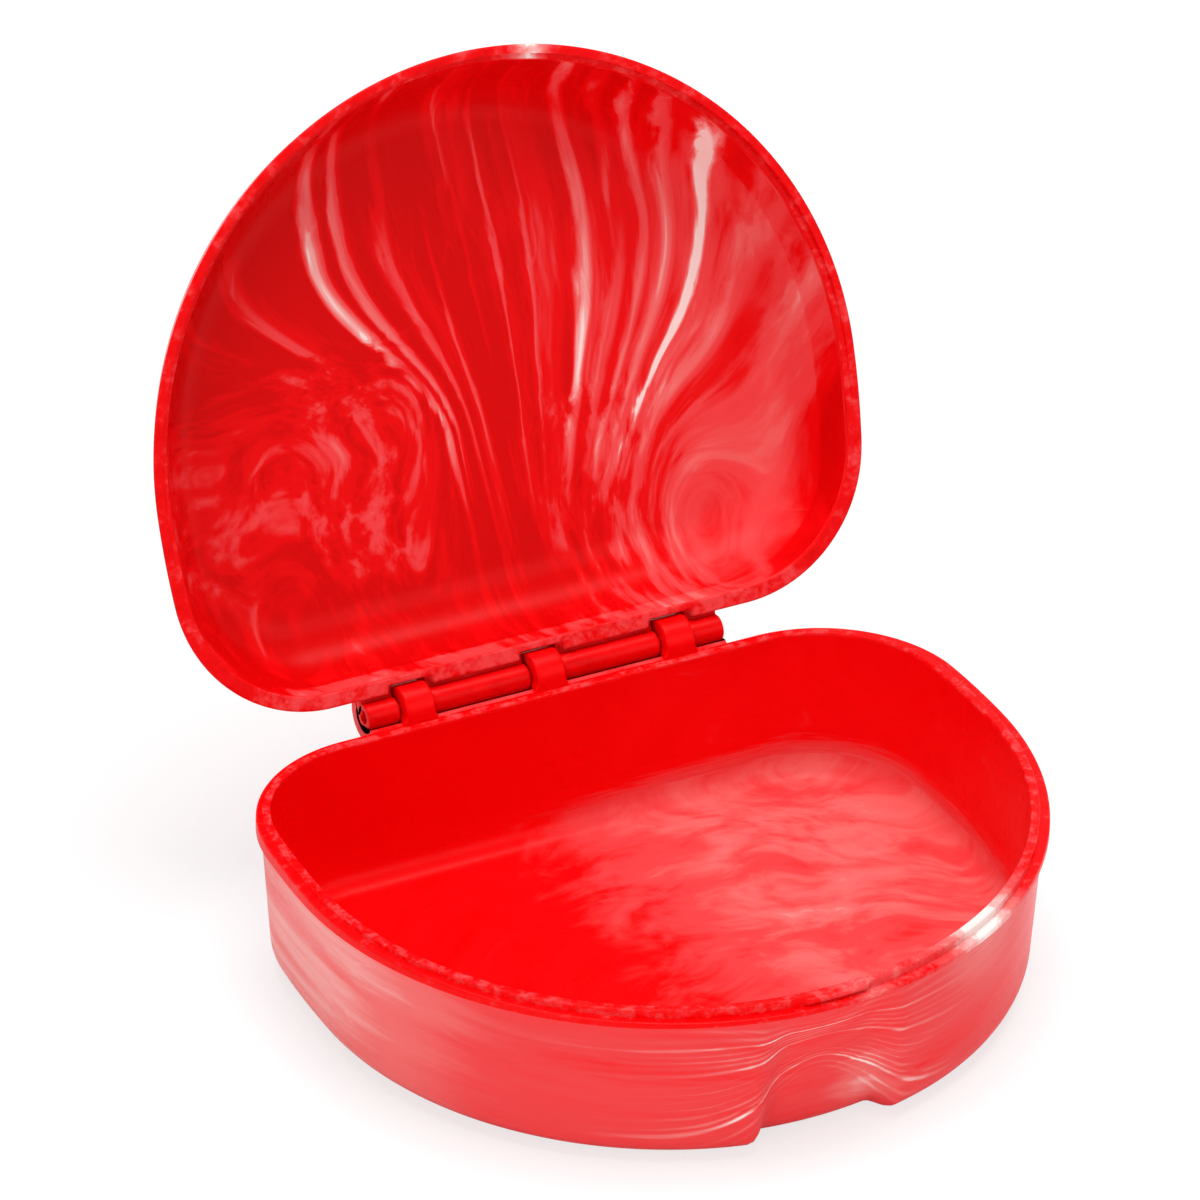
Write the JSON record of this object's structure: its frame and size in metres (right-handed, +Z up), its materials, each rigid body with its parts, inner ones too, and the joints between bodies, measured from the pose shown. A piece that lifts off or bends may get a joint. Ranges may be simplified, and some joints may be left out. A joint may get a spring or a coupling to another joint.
{
  "type": "mouth guard case",
  "caption": "Hinged D-shaped plastic box for a mouth guard or retainer, with a domed lid standing open and a stepped rim that closes.",
  "frame": {"origin": "middle of the tray's flat underside", "axes": "+Z up, -Y towards the front of the case, X along the hinge"},
  "size_m": [0.08, 0.0951, 0.0818],
  "materials": {
    "tray_plastic": "Marbled red and pink moulded plastic with white flow streaks, softly glossy",
    "lid_plastic": "Marbled red and pink moulded plastic with white flow streaks fanning out from the hinge",
    "pin_plastic": "Plain red moulded plastic rod"
  },
  "bodies": {
    "tray": {"base_tray": "tray_plastic", "hinge_pin": "pin_plastic"},
    "lid": {"lid": "lid_plastic"}
  },
  "joints": [
    {"name": "lid_hinge", "type": "hinge", "parent": "tray", "child": "lid", "pos_m": [0, 0.0339, 0.0193], "axis": [1, 0, 0], "range_deg": [0, 110]}
  ]
}
